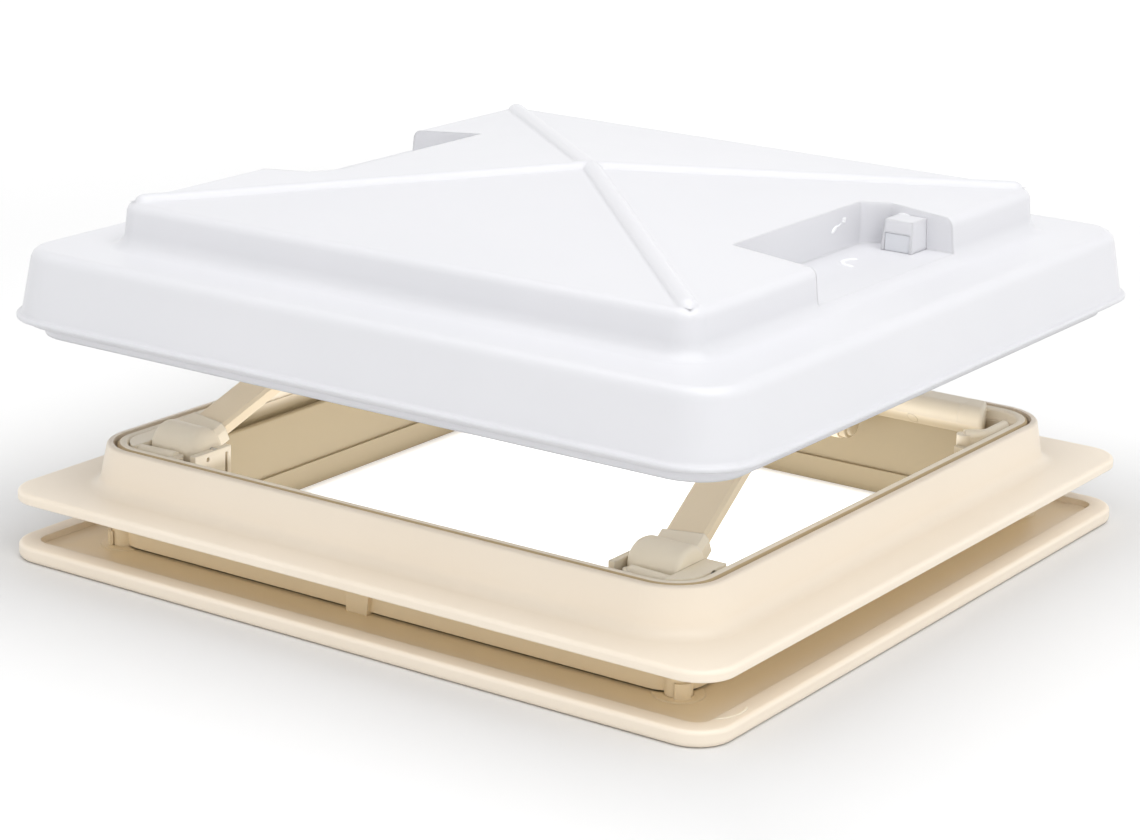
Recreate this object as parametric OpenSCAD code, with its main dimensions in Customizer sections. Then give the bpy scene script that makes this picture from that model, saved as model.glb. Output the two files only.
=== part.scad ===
// Caravan roof vent with a square dome that lifts level on two coupled bails.
// Millimetres. Z is up from the underside of the inner frame, X runs along the
// handle bars, and the dome is drawn raised, which is the rest pose of its joint.
// "Half" in a name is half of a width across the square, measured from the middle.

/* [Roof] */
// Side of the square hole cut in the roof
cutout = 400; // [380:5:440]
// Roof thickness held between the two frames
roof_t = 25.5; // [22:0.5:40]

/* [Frames] */
// Width of both frames beyond the edge of the cut-out
overlap = 40; // [36:1:48]
// Outer corner radius of both frames
frame_r = 22; // [18:1:26]
// Flange thickness on the roof
flange_t = 6.4; // [5:0.2:8]
// Height of the lip of the inner frame
lip_h = 9.5; // [8:0.5:12]
// Width of the lip of the inner frame
lip_w = 12.5; // [9:0.5:15]
// Floor thickness of the inner frame
floor_t = 5.5; // [4.5:0.5:7]
// Room between the spigot and the cut-out
spigot_gap = 3.5; // [3:0.1:4.5]
// Wall thickness of the outer frame
frame_wall = 3; // [2.6:0.1:3.4]
// Corner radius of the well, at the line of the cut-out
well_r = 25; // [22:1:28]
// Height of the collar above the flange
collar_h = 25.6; // [22:0.2:29]
// Reach of the collar top beyond the cut-out
collar_reach = 6.5; // [6:0.1:8]
// How much wider the foot of the collar is than its top
collar_lean = 5; // [3:0.5:7]
// Wall thickness of the upstand of the inner frame
upstand_t = 2.8; // [2.2:0.2:3.4]
// Height of the upstand above the underside of the flange
upstand_rise = 16; // [12:0.5:18]

/* [Dome] */
// Reach of the dome rim beyond the cut-out
rim_reach = 42.5; // [40:0.5:48]
// Height of the lower tier, from the rim to the ledge
skirt_h = 40; // [36:1:50]
// Width of the ledge between the two tiers
ledge_w = 39; // [34:1:46]
// Height of the upper tier above the ledge
tier_h = 25; // [21:1:29]
// Rise of the crown from the edge of the upper tier to its middle
crown_h = 17; // [13:1:21]
// Skin thickness of the dome
skin = 3; // [2.4:0.2:3.6]
// Height of the crown ribs above the crown
rib_proud = 3.5; // [2.5:0.5:4]
// Width of each notch in the upper tier
notch_w = 153; // [130:1:170]
// Depth of each notch in from the wall of the upper tier
notch_d = 52; // [46:1:58]
// Shift of both notches along Y from the middle of the dome
notch_shift = 7; // [0:1:12]

/* [Linkage] */
// Lift of the dome from closed to raised
lift = 90; // [80:1:100]
// Angle of both bails above level when the dome is raised
open_angle = 24; // [22:0.5:27]
// Distance of the front arms from the wall of the well, at their pivots
front_arm_inset = 27; // [25:0.5:29]
// Distance of the rear arms from the middle
rear_arm_x = 75; // [70:1:82]
// Inward lean of the front arms
arm_lean = 8; // [5:0.5:9]
// Diameter of the two handle bars
bar_d = 9; // [8:0.5:10]

/* [Hidden] */
$fn = 96;
// Running clearance of the pivots and of the bars, on the radius
run_fit = 0.06;
// Clearance of a screw or a pin in the part that holds it, on the radius
hold_fit = 0.03;
// Side play beside a moving part
side_play = 0.3;
// Gap between fixed pieces that seat on each other
seat_gap = 0.05;

// Heights
z_flange = lip_h + roof_t;
z_flange_top = z_flange + flange_t;
z_collar = z_flange_top + collar_h;
z_upstand = z_flange + upstand_rise;
z_spigot = floor_t + 1.5;
rebate_d = 7;
z_rebate = z_collar - rebate_d;

// Halves and corner centres of the frames
frame_half = cutout / 2 + overlap;
frame_c = frame_half - frame_r;
well_c = cutout / 2 - well_r;
post_half = cutout / 2 - 0.4;
spigot_half = cutout / 2 - spigot_gap;
well_half = spigot_half - frame_wall;
collar_half = cutout / 2 + collar_reach;
foot_half = collar_half + collar_lean;
upstand_out = well_half - 2.7;
upstand_in = upstand_out - upstand_t;
band_in = upstand_in - 1.5;
lip_half = frame_half - lip_w;
rim_w = 3.6;
tongue_in = well_half + 2.7;
tongue_t = 1.6;
tongue_h = 3.5;
gasket_in = well_half + 0.8;
gasket_w = 6.4;
gasket_round = 1.9;

// Heights of the raised dome
ring_gap = 2.1;
z_ring = z_flange_top + ring_gap + lift;
z_rim = z_ring + 9.5;
z_ledge = z_rim + skirt_h;
z_tier = z_ledge + tier_h;
z_apex = z_tier + crown_h;
seal_h = 12.4;
seal_gap = 0.6;
inner_t = 2.5;
z_pan = z_collar + seal_gap + seal_h + lift;

// Halves of the dome
rim_half = cutout / 2 + rim_reach;
rim_r = 35;
dome_c = rim_half - rim_r;
bead_w = 3;
bead_t = 2.8;
skirt_half = rim_half - bead_w;
skirt_draft = 7;
ledge_half = skirt_half - skirt_draft;
tier_half = ledge_half - ledge_w;
tier_draft = 2.5;
tier_top = tier_half - tier_draft;
tier_r = 12;
tier_c = tier_top - tier_r;
ring_half = rim_half - 13.5;
ring_draft = 5;

// Notches and vent hoods
z_notch = z_ledge + 5;
notch_in = tier_top - notch_d;
notch_cut = 13;
hood_x = notch_in + 17;
hood_w = 20;
hood_d = 18.4;
hood_h = 18;
hood_t = 2;
hood_lean = 1.6;
hood_recess = 1.4;
hood_mouth = 2.5;
slot_w = 12;
slot_h = 7;

// Linkage
bail_len = lift / sin(open_angle);
front_arm_x = well_half - front_arm_inset;
pivot_y = well_half - 27.5;
front_z = z_collar - 4;
rear_z = front_z - 16;
arm_w = 24;
arm_t = 7;
arm_flat = 20;
arm_side = 5.5;
knuckle_w = 28;
knuckle_r = 14;
knuckle_l = 22;
hub_in = 21;
hub_round = 9;
sleeve_t = 2.2;
socket_y = 8;
socket_fit = 0.15;
front_pin_r = 3.5;
eye_r = 8;
eye_w = 22;
bar_r = bar_d / 2;
front_tip_x = front_arm_x - bail_len * tan(arm_lean);
rear_arm_w = 16;
rear_knuckle_r = 9;
rear_pin_r = 3;
ear_t = 5;
ear_r = 8;
grip_r = 8;
front_grip_l = 90;
rear_grip_l = 70;

// Slides under the dome
slide_inset = 14;
front_slide_x = front_tip_x - eye_w / 2 - slide_inset;
rear_slide_x = rear_arm_x - rear_arm_w / 2 - slide_inset;
slide_t = 5;
slide_edge = 8;
slide_foot_t = 3;
slide_foot_w = 26;
slide_foot_y = 14;
slot_rise = 1;
slot_fit = 0.35;
bar_y_open = pivot_y - bail_len * cos(open_angle);
bar_y_closed = pivot_y - bail_len;
boss_r = 4.5;
boss_h = 8;

// Corner blocks and hinge rail
plate_in = front_arm_x + knuckle_w / 2 + side_play;
z_block = z_flange + 1;
plate_back_y = pivot_y - 30;
plate_step_y = pivot_y - 13;
wing_t = 6;
bead_r = 3.4;
nose_r = 4.4;
z_bead = z_collar - bead_r - 0.2;
z_web = front_z - knuckle_r - 1.2;
web_t = 3.5;
cheek_t = 4;
cheek_skin = 1.2;
cheek_in = front_arm_x - hub_in - side_play - cheek_t;
z_cheek = z_collar - 1;
rail_half = well_half - 27.5;
rail_h = 19;
rail_d = 20;
rail_rise = 4;
rail_mitre = 6;
rail_seat = 9;
z_rail = z_collar + rail_rise - rail_h;
rail_screw_x = [20, rear_arm_x + 50];
rail_screw_z = z_rail + 4.5;

// Screws
clamp_r = 1.7;
clamp_l = 22;
clamp_head_r = 3.5;
clamp_head_h = 2.2;
clamp_seat = 3;
corner_screw_at = cutout / 2 - 9.5;
boss_in = corner_screw_at - 8;
pillar_r = 7.5;
mid_screw_at = (well_half + post_half) / 2;
mid_post_shift = [40, -13];
mid_post_top = 22;
mid_post_foot = 14;
tab_in = 8.2;
tab_t = 1.8;
tab_w = 8.6;
tab_h = 9;
disc_r = 14;
small_r = 1.5;
small_head_r = 3;
small_head_h = 1.8;
block_screw_y = pivot_y - 24;
block_screw_z = z_block + 9;

dome_white = "#F4F4F6";
frame_cream = "#EFE3CE";
arm_cream = "#E2D3B8";
rubber_grey = "#8A8580";
steel_grey = "#B9BCC0";

// Area between a corner p and the circle of radius r that touches its two edges,
// which leave p at the angles a1 and a2. It rounds the corner when it is cut away
// and fills it when it is added.
module corner_patch(p, a1, a2, r) {
  half = (a2 - a1) / 2;
  mid = [cos((a1 + a2) / 2), sin((a1 + a2) / 2)];
  reach = r / tan(half);
  centre = p + r / sin(half) * mid;
  difference() {
    polygon([
      p - 0.5 * mid,
      p + reach * [cos(a1), sin(a1)],
      centre,
      p + reach * [cos(a2), sin(a2)]
    ]);
    translate(centre) circle(r);
  }
}

// Carries a section around a rounded square. The section is drawn with x as the
// half width and y as the height; c is the distance of the corner centres.
module ring_sweep(c) {
  for (quarter = [0:3]) rotate([0, 0, 90 * quarter]) {
    translate([c, c, 0]) rotate_extrude(angle = 90) translate([-c, 0]) children();
    translate([c, c, 0]) rotate([90, 0, 0]) linear_extrude(2 * c) translate([-c, 0]) children();
  }
}

module middle_block(c, z0, z1) {
  translate([-c, -c, z0]) cube([2 * c, 2 * c, z1 - z0]);
}

module rounded_prism(c, half, z0, z1) {
  ring_sweep(c) translate([c, z0]) square([half - c, z1 - z0]);
  middle_block(c, z0, z1);
}

module each_corner() {
  for (sx = [-1, 1]) for (sy = [-1, 1]) translate([sx * corner_screw_at, sy * corner_screw_at, 0]) children();
}

// The middle of the post on each side, which stands off the middle of the side
module each_side() {
  for (quarter = [0:3]) rotate([0, 0, 90 * quarter])
    translate([mid_screw_at, mid_post_shift[quarter % 2], 0]) children();
}

// Pan-head screw with its seat at z = 0, pointing up, with a cross recess
module screw(r, len, head_r, head_h) {
  difference() {
    union() {
      cylinder(h = len, r = r);
      translate([0, 0, -head_h]) cylinder(h = head_h, r = head_r);
    }
    for (turn = [0, 90]) rotate([0, 0, turn])
      translate([-head_r * 0.6, -0.4, -head_h - 1]) cube([head_r * 1.2, 0.8, 1.8]);
  }
}

// Frames

module collar_section() {
  lean = atan(collar_lean / collar_h);
  difference() {
    union() {
      polygon([
        [well_half, z_spigot],
        [spigot_half, z_spigot],
        [spigot_half, z_flange],
        [foot_half, z_flange],
        [foot_half, z_flange_top],
        [collar_half, z_collar],
        [collar_half - rim_w, z_collar],
        [collar_half - rim_w, z_rebate],
        [well_half, z_rebate]
      ]);
      translate([tongue_in, z_rebate - 1]) square([tongue_t, tongue_h + 1]);
      corner_patch([foot_half, z_flange_top], 0, 90 + lean, 8);
    }
    corner_patch([collar_half, z_collar], 180, 270 + lean, 1.8);
    polygon([
      [spigot_half, z_flange - 1],
      [foot_half - frame_wall, z_flange - 1],
      [foot_half - frame_wall, z_flange_top],
      [collar_half - frame_wall, z_rebate - frame_wall],
      [spigot_half, z_rebate - frame_wall]
    ]);
  }
}

module flange_section() {
  difference() {
    translate([frame_c, z_flange]) square([frame_half - frame_c, flange_t]);
    corner_patch([frame_half, z_flange_top], 180, 270, 2.5);
    corner_patch([frame_half, z_flange], 90, 180, 1);
  }
}

module flange_plate() {
  difference() {
    union() {
      ring_sweep(frame_c) flange_section();
      middle_block(frame_c, z_flange, z_flange_top);
    }
    rounded_prism(well_c, foot_half - frame_wall, z_flange - 1, z_flange_top + 1);
  }
}

module posts() {
  difference() {
    union() {
      each_side() across((well_half - 1 + post_half) / 2 - mid_screw_at, post_half - well_half + 1) polygon([
        [-mid_post_foot / 2, floor_t],
        [mid_post_foot / 2, floor_t],
        [mid_post_top / 2, z_flange + 3],
        [-mid_post_top / 2, z_flange + 3]
      ]);
      each_corner() translate([0, 0, floor_t]) cylinder(h = z_flange - floor_t + 3, r = pillar_r);
      for (quarter = [0:3]) rotate([0, 0, 90 * quarter]) translate([boss_in, boss_in, floor_t + 0.4])
        cube([corner_screw_at - boss_in, corner_screw_at - boss_in, z_flange - floor_t + 2]);
    }
    rounded_prism(well_c, well_half, floor_t - 1, z_flange + 5);
  }
}

module outer_frame() {
  color(frame_cream) difference() {
    union() {
      ring_sweep(well_c) collar_section();
      flange_plate();
      posts();
    }
    each_corner() translate([0, 0, floor_t - 1]) cylinder(h = clamp_l, r = clamp_r + hold_fit);
    each_side() translate([0, 0, floor_t - 1]) cylinder(h = clamp_l, r = clamp_r + hold_fit);
    for (sx = [-1, 1]) for (x = rail_screw_x)
      translate([sx * x, well_half - 1, rail_screw_z]) rotate([-90, 0, 0])
        cylinder(h = frame_wall + 2, r = small_r + hold_fit);
  }
}

module tray_section() {
  difference() {
    translate([frame_c, 0]) square([frame_half - frame_c, lip_h]);
    corner_patch([frame_half, lip_h], 180, 270, 2.5);
    corner_patch([frame_half, 0], 90, 180, 3.5);
  }
}

module upstand_section() {
  difference() {
    union() {
      translate([upstand_in, 0]) square([upstand_t, z_upstand]);
      translate([band_in, 0]) square([upstand_in - band_in + 1, 15]);
    }
    corner_patch([upstand_in, z_upstand], 270, 360, 1.2);
  }
}

module tray_floor() {
  difference() {
    union() {
      ring_sweep(frame_c) tray_section();
      middle_block(frame_c, 0, lip_h);
    }
    rounded_prism(frame_c, lip_half, floor_t, lip_h + 1);
    rounded_prism(well_c, upstand_in + 1, -1, lip_h + 1);
  }
}

module tray_details() {
  difference() {
    for (quarter = [0:3]) rotate([0, 0, 90 * quarter]) {
      translate([corner_screw_at, corner_screw_at, floor_t - 1]) {
        cylinder(h = 1.6, r = disc_r);
        corner_tab();
      }
    }
    rounded_prism(well_c, spigot_half + 0.4, floor_t - 2, lip_h + 1);
    each_corner() translate([0, 0, floor_t]) cylinder(h = 2, r = pillar_r + 0.4);
  }
}

// A curved tab on the outer diagonal of a corner post
module corner_tab() {
  rotate([0, 0, 45]) intersection() {
    difference() {
      cylinder(h = tab_h + 1, r = tab_in + tab_t);
      translate([0, 0, -1]) cylinder(h = tab_h + 3, r = tab_in);
    }
    translate([0, -tab_w / 2, -1]) cube([2 * tab_in, tab_w, tab_h + 3]);
  }
}

module inner_frame() {
  color(frame_cream) difference() {
    union() {
      tray_floor();
      ring_sweep(well_c) upstand_section();
      tray_details();
    }
    each_corner() tray_screw_hole();
    each_side() tray_screw_hole();
    for (sx = [-1, 1]) translate([sx * (upstand_in - 1), -block_screw_y, block_screw_z])
      rotate([0, sx * 90, 0]) cylinder(h = upstand_t + 2, r = small_r + hold_fit);
  }
}

module tray_screw_hole() {
  translate([0, 0, -1]) cylinder(h = floor_t + 2, r = clamp_r + 0.3);
  translate([0, 0, -1]) cylinder(h = clamp_seat + 1, r = clamp_head_r + 0.7);
}

module gasket_section() {
  top = z_collar - 0.2;
  difference() {
    translate([gasket_in, z_rebate]) square([gasket_w, top - z_rebate]);
    corner_patch([gasket_in, top], 270, 360, gasket_round);
    corner_patch([gasket_in + gasket_w, top], 180, 270, gasket_round);
    translate([tongue_in - 0.05, z_rebate - 1]) square([tongue_t + 0.1, tongue_h + 1.1]);
  }
}

module collar_gasket() {
  color(frame_cream) ring_sweep(well_c) gasket_section();
}

// Corner blocks, hinge rail and pins

// Ring-shaped room around the upstand of the inner frame
module upstand_room() {
  difference() {
    rounded_prism(well_c, well_half + 1, -1, z_upstand + 0.4);
    rounded_prism(well_c, upstand_in - 0.3, -2, z_upstand + 1);
  }
}

// A straight wall with a round bead along its top, from p to a rounded nose at q
module beaded_wing(p, q, z0) {
  run = norm(q - p);
  turn = atan2(q[1] - p[1], q[0] - p[0]);
  translate([p[0], p[1], 0]) rotate([0, 0, turn]) {
    translate([0, -wing_t / 2, z0]) cube([run, wing_t, z_bead - z0]);
    translate([0, 0, z_bead]) rotate([0, 90, 0]) cylinder(h = run, r = bead_r);
    translate([run, 0, z0]) cylinder(h = z_bead + 1 - z0, r = nose_r);
  }
}

module wing_section(z0) {
  translate([-wing_t / 2, z0]) square([wing_t, z_bead - z0]);
  translate([0, z_bead]) circle(bead_r);
}

// A beaded wall that leaves p along -Y, bends towards -X and ends in a rounded nose
module bent_wing(p, run, bend, turn, tail, z0) {
  translate([p[0], p[1], 0]) {
    rotate([90, 0, 0]) linear_extrude(run) wing_section(z0);
    translate([-bend, -run, 0]) rotate([0, 0, -turn]) {
      rotate_extrude(angle = turn) translate([bend, 0]) wing_section(z0);
      translate([bend, 0, 0]) rotate([90, 0, 0]) linear_extrude(tail) wing_section(z0);
      translate([bend, -tail, z0]) cylinder(h = z_bead + 1 - z0, r = nose_r);
    }
  }
}

// The block of the corner at +X and -Y, which carries a pivot of the front bail
module corner_block() {
  difference() {
    intersection() {
      union() {
        translate([plate_in, -well_half, z_block])
          cube([well_half - plate_in + 1, well_half - plate_step_y, z_collar - z_block]);
        translate([plate_in, -plate_step_y - 1, z_block])
          cube([well_half - plate_in + 1, plate_step_y + 1 - plate_back_y, z_upstand + 1 - z_block]);
        translate([cheek_in, -well_half, z_web - web_t])
          cube([well_half - cheek_in + 1, well_half - pivot_y + 14, web_t]);
        translate([cheek_in, -pivot_y - 19, z_web - web_t + 0.5])
          cube([cheek_t, 31, z_cheek - z_web + web_t - 0.5]);
        beaded_wing(
          [well_half - 2, -well_half + 5.5], [front_arm_x - 11, -pivot_y - knuckle_r - nose_r - 1], z_web - web_t
        );
      }
      rounded_prism(well_c, well_half - seat_gap, 0, z_collar + 5);
    }
    upstand_room();
    translate([plate_in - 1, -pivot_y, front_z]) rotate([0, 90, 0])
      cylinder(h = well_half - plate_in + 2, r = front_pin_r + hold_fit);
    translate([cheek_in + cheek_skin, -pivot_y, front_z]) rotate([0, 90, 0])
      cylinder(h = cheek_t, r = front_pin_r + hold_fit);
    translate([cheek_in - 1, -pivot_y - 8, front_z - 1]) rotate([0, 90, 0]) cylinder(h = 3.5, r = 1.3);
    translate([cheek_in - 1, -pivot_y + 7, z_web + 3]) cube([cheek_t + 2, 1.8, z_cheek - z_web - 6]);
    translate([plate_in - 1, -block_screw_y, block_screw_z]) rotate([0, 90, 0])
      cylinder(h = 20, r = small_r + 0.2);
  }
}

module corner_block_front() {
  color(frame_cream) corner_block();
}

module corner_block_left() {
  color(frame_cream) mirror([1, 0, 0]) corner_block();
}

// The web beside the corner at +X and +Y, on a ledge that is fixed to the wall of the well
module corner_web() {
  translate([well_half - 18, well_half - 58, z_upstand + 1]) cube([18 - seat_gap, 44, 6]);
  bent_wing([well_half - 5.5, well_half - 18], 20, 9, 50, 9, z_upstand + 3);
}

module corner_web_right() {
  color(frame_cream) corner_web();
}

module corner_web_back() {
  color(frame_cream) mirror([1, 0, 0]) corner_web();
}

module rail_section() {
  back = well_half;
  front = back - rail_d;
  top = z_rail + rail_h;
  difference() {
    polygon([
      [back, z_rail],
      [front + 8, z_rail],
      [front, z_rail + 8],
      [front, top],
      [back - 0.6, top],
      [back - 0.6, z_rebate],
      [back, z_rebate]
    ]);
    corner_patch([front, top], 270, 360, 7);
    corner_patch([back - 0.6, top], 180, 270, 1.5);
  }
}

module ear_section() {
  translate([pivot_y, rear_z]) circle(ear_r);
  translate([pivot_y - ear_r, rear_z]) square([2 * ear_r, z_rail + 6 - rear_z]);
  translate([pivot_y, z_rail - 2]) square([well_half - rail_d + 7 - pivot_y, 8]);
}

// Extrudes a section that is drawn in Y and Z along X, centred on x
module across(x, width) {
  translate([x - width / 2, 0, 0]) rotate([90, 0, 90]) linear_extrude(width) children();
}

module rear_hinge_rail() {
  ear_x = (rear_arm_w + ear_t) / 2 + side_play;
  color(frame_cream) difference() {
    union() {
      intersection() {
        across(0, 2 * rail_half) rail_section();
        translate([0, 0, z_rail - 1]) linear_extrude(rail_h + 2) polygon([
          [-rail_half, well_half + 1],
          [rail_half, well_half + 1],
          [rail_half, well_half - 5],
          [rail_half - rail_mitre, well_half - rail_d - 1],
          [-rail_half + rail_mitre, well_half - rail_d - 1],
          [-rail_half, well_half - 5]
        ]);
      }
      for (sx = [-1, 1]) for (side = [-1, 1]) across(sx * rear_arm_x + side * ear_x, ear_t) ear_section();
    }
    for (sx = [-1, 1]) translate([sx * rear_arm_x, pivot_y, rear_z]) rotate([0, 90, 0])
      cylinder(h = rear_arm_w + 4 * ear_t, r = rear_pin_r + hold_fit, center = true);
    for (sx = [-1, 1]) for (x = rail_screw_x) translate([sx * x, well_half - 40, rail_screw_z])
      rotate([-90, 0, 0]) cylinder(h = 50, r = small_r + 0.2);
    for (sx = [-1, 1]) for (x = rail_screw_x) translate([sx * x, well_half - 40, rail_screw_z])
      rotate([-90, 0, 0]) cylinder(h = 40 - rail_seat, r = small_head_r + 0.4);
  }
}

module front_pin() {
  inner = cheek_in + cheek_skin + seat_gap;
  rotate([0, 90, 0]) translate([0, 0, inner]) cylinder(h = well_half - 2.5 - inner, r = front_pin_r);
}

module front_pin_right() {
  color(steel_grey) translate([0, -pivot_y, front_z]) front_pin();
}

module front_pin_left() {
  color(steel_grey) mirror([1, 0, 0]) translate([0, -pivot_y, front_z]) front_pin();
}

module rear_pin() {
  outer = rear_arm_w / 2 + side_play + ear_t;
  rotate([0, 90, 0]) {
    translate([0, 0, -outer - 1.5]) cylinder(h = 2 * outer + 1.5, r = rear_pin_r);
    translate([0, 0, outer]) cylinder(h = 1.8, r = rear_pin_r + 1.8);
  }
}

module rear_pin_right() {
  color(steel_grey) translate([rear_arm_x, pivot_y, rear_z]) rear_pin();
}

module rear_pin_left() {
  color(steel_grey) mirror([1, 0, 0]) translate([rear_arm_x, pivot_y, rear_z]) rear_pin();
}

// Screws

module clamp_screws() {
  color(steel_grey) {
    each_corner() translate([0, 0, clamp_seat]) screw(clamp_r, clamp_l, clamp_head_r, clamp_head_h);
    each_side() translate([0, 0, clamp_seat]) screw(clamp_r, clamp_l, clamp_head_r, clamp_head_h);
  }
}

module block_screws() {
  color(steel_grey) for (sx = [-1, 1]) translate([sx * plate_in, -block_screw_y, block_screw_z])
    rotate([0, sx * 90, 0]) screw(small_r, upstand_out + 1 - plate_in, small_head_r, small_head_h);
}

module rail_screws() {
  seat = well_half - rail_seat;
  color(steel_grey) for (sx = [-1, 1]) for (x = rail_screw_x) translate([sx * x, seat, rail_screw_z])
    rotate([-90, 0, 0]) screw(small_r, rail_seat + frame_wall, small_head_r, small_head_h);
}

module slide_screws() {
  color(steel_grey) {
    for (sx = [-1, 1]) slide_screw_places(sx * front_slide_x)
      screw(small_r, slide_foot_t + inner_t + boss_h - 2, small_head_r, small_head_h);
    rotate([0, 0, 180]) for (sx = [-1, 1]) slide_screw_places(sx * rear_slide_x)
      screw(small_r, slide_foot_t + inner_t + boss_h - 2, small_head_r, small_head_h);
  }
}

// Bails, drawn flat along +Y from the pivot axis and then raised about X

module front_place() {
  translate([0, -pivot_y, front_z]) rotate([open_angle, 0, 0]) children();
}

module rear_place() {
  rotate([0, 0, 180]) translate([0, -pivot_y, rear_z]) rotate([open_angle, 0, 0]) children();
}

module along_y(len) {
  translate([0, len, 0]) rotate([90, 0, 0]) linear_extrude(len) children();
}

module arm_section(width, grow) {
  half = width / 2 + grow;
  flat = half - (arm_w - arm_flat) / 2;
  low = -arm_t / 2 - grow;
  high = arm_t / 2 + grow;
  polygon([[-half, low], [half, low], [half, low + arm_side + grow], [flat, high], [-flat, high], [-half, low + arm_side + grow]]);
}

module cross_hole(x, r, width) {
  translate([x - width / 2, 0, 0]) rotate([0, 90, 0]) cylinder(h = width, r = r);
}

// Half section of the turned hub of a front knuckle: radius, and place along the pin
module hub_section() {
  difference() {
    translate([1, -hub_in]) square([knuckle_r - 1, hub_in + knuckle_w / 2]);
    corner_patch([knuckle_r, -hub_in], 90, 180, hub_round);
    corner_patch([knuckle_r, knuckle_w / 2], 180, 270, 3);
  }
}

module front_knuckle() {
  difference() {
    union() {
      translate([front_arm_x, 0, 0]) rotate([0, 90, 0]) rotate_extrude() hub_section();
      translate([front_arm_x, 0, 0]) rotate([0, 0, arm_lean]) along_y(knuckle_l) arm_section(arm_w, sleeve_t);
    }
    translate([front_arm_x, 0, 0]) rotate([0, 0, arm_lean]) translate([0, socket_y, 0])
      along_y(knuckle_l) arm_section(arm_w, socket_fit);
    cross_hole(front_arm_x, front_pin_r + run_fit, 2 * knuckle_w);
    translate([front_arm_x + knuckle_w / 2, -50, -50]) cube([20, 100, 100]);
  }
}

module front_arm() {
  difference() {
    union() {
      translate([front_arm_x, 0, 0]) rotate([0, 0, arm_lean]) translate([0, socket_y, 0])
        along_y(bail_len / cos(arm_lean) - socket_y) arm_section(arm_w, 0);
      translate([0, bail_len, 0]) cross_hole(front_tip_x, eye_r, eye_w);
    }
    translate([0, bail_len, 0]) cross_hole(front_tip_x, bar_r + run_fit, 3 * eye_w);
  }
}

module front_knuckle_right() {
  color(frame_cream) front_place() front_knuckle();
}

module front_knuckle_left() {
  color(frame_cream) mirror([1, 0, 0]) front_place() front_knuckle();
}

module front_arm_right() {
  color(arm_cream) front_place() front_arm();
}

module front_arm_left() {
  color(arm_cream) mirror([1, 0, 0]) front_place() front_arm();
}

module handle_bar(reach) {
  translate([0, bail_len, 0]) cross_hole(0, bar_r, 2 * reach);
}

module grip(len) {
  translate([0, bail_len, 0]) difference() {
    union() {
      cross_hole(0, grip_r, len - 2 * grip_r + 8);
      for (sx = [-1, 1]) cross_hole(sx * (len / 2 - 2), grip_r - 1.2, 4);
    }
    cross_hole(0, bar_r + run_fit, 2 * len);
  }
}

module front_bar() {
  color(steel_grey) front_place() handle_bar(front_tip_x + eye_w / 2 + 3);
}

module front_grip() {
  color(arm_cream) front_place() grip(front_grip_l);
}

module rear_arm() {
  difference() {
    union() {
      along_y(bail_len) translate([rear_arm_x, 0]) arm_section(rear_arm_w, 0);
      cross_hole(rear_arm_x, rear_knuckle_r, rear_arm_w);
      translate([0, bail_len, 0]) cross_hole(rear_arm_x, eye_r, rear_arm_w);
    }
    cross_hole(rear_arm_x, rear_pin_r + run_fit, 3 * rear_arm_w);
    translate([0, bail_len, 0]) cross_hole(rear_arm_x, bar_r + run_fit, 3 * rear_arm_w);
  }
}

module rear_arm_left() {
  color(arm_cream) rear_place() rear_arm();
}

module rear_arm_right() {
  color(arm_cream) mirror([1, 0, 0]) rear_place() rear_arm();
}

module rear_bar() {
  color(steel_grey) rear_place() handle_bar(rear_arm_x + rear_arm_w / 2 + 3);
}

module rear_grip() {
  color(arm_cream) rear_place() grip(rear_grip_l);
}

// Dome

module skirt_section() {
  wall = atan(skirt_draft / (skirt_h - bead_t));
  difference() {
    union() {
      polygon([
        [dome_c, z_rim],
        [rim_half, z_rim],
        [rim_half, z_rim + bead_t],
        [skirt_half, z_rim + bead_t],
        [ledge_half, z_ledge],
        [dome_c, z_ledge]
      ]);
      corner_patch([skirt_half, z_rim + bead_t], 0, 90 + wall, 1.5);
    }
    corner_patch([ledge_half, z_ledge], 180, 270 + wall, 7);
    corner_patch([rim_half, z_rim + bead_t], 180, 270, 1.2);
    corner_patch([rim_half, z_rim], 90, 180, 0.8);
  }
}

module skirt_hollow() {
  ring_sweep(dome_c) polygon([
    [dome_c, z_rim - 1],
    [skirt_half - skin, z_rim - 1],
    [skirt_half - skin, z_rim + bead_t],
    [ledge_half - skin, z_ledge - skin],
    [dome_c, z_ledge - skin]
  ]);
  middle_block(dome_c, z_rim - 1, z_ledge - skin);
}

// Four-sided crown, lowered by drop
module crown_pyramid(z0, drop) {
  slope = crown_h / tier_top;
  edge = z_tier - slope * 40 - drop;
  reach = tier_top + 40;
  intersection_for (turn = [0, 90]) rotate([0, 0, turn]) across(0, 2 * reach)
    polygon([[-reach, z0], [reach, z0], [reach, edge], [0, z_apex - drop], [-reach, edge]]);
}

// The upper tier as a solid, shrunk by inset on every outer face
module tier_form(inset) {
  wall = atan(tier_draft / tier_h);
  slope = atan(crown_h / tier_top);
  z0 = z_ledge - skin - 1;
  over = crown_h + 4;
  difference() {
    intersection() {
      union() {
        ring_sweep(tier_c) polygon([
          [tier_c, z0],
          [tier_half - inset, z0],
          [tier_half - inset, z_ledge],
          [tier_top - inset, z_tier],
          [tier_top - inset - over * tan(wall), z_tier + over],
          [tier_c, z_tier + over]
        ]);
        middle_block(tier_c, z0, z_tier + over);
      }
      crown_pyramid(z0 - 1, inset);
    }
    ring_sweep(tier_c) corner_patch(
      [tier_top - inset, z_tier - inset + inset * tan(slope)], 180 - slope, 270 + wall, 6
    );
    notch_pair() notch(inset);
  }
}

// Places what is drawn for the +X notch in both notches
module notch_pair() {
  for (turn = [0, 180]) translate([0, notch_shift, 0]) rotate([0, 0, turn]) children();
}

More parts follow.
